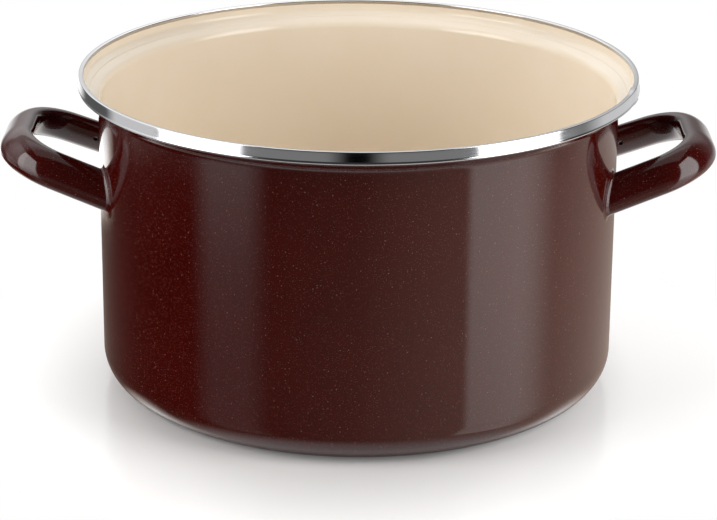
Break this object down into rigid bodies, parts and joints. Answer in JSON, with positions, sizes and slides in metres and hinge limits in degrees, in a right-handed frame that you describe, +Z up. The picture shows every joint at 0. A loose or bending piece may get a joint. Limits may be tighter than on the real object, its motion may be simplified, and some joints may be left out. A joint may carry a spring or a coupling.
{
  "type": "enamel pot",
  "caption": "Deep straight-sided enamelled steel cooking pot with a cream inside, a stepped lid seat, a steel-bound rim and fixed tube loop handles welded to its sides.",
  "frame": {"origin": "centre of the flat base, on the surface that the pot stands on", "axes": "+Z up along the pot's axis, +X through the middle of the right handle, -Y towards the viewer of the picture"},
  "size_m": [0.33, 0.2584, 0.148],
  "materials": {
    "bare_steel": "plain drawn low-carbon steel, hidden under the enamel",
    "brown_enamel": "glossy dark brown vitreous enamel with fine pale specks",
    "cream_enamel": "glossy cream vitreous enamel",
    "stainless": "polished stainless strip, nearly a mirror"
  },
  "bodies": {
    "root": {"steel_shell": "bare_steel", "outer_enamel": "brown_enamel", "inner_enamel": "cream_enamel", "rim_band": "stainless", "handle_right_tube": "bare_steel", "handle_right_enamel": "brown_enamel", "weld_right_front": "brown_enamel", "weld_right_rear": "brown_enamel", "handle_left_tube": "bare_steel", "handle_left_enamel": "brown_enamel", "weld_left_front": "brown_enamel", "weld_left_rear": "brown_enamel"}
  },
  "joints": []
}
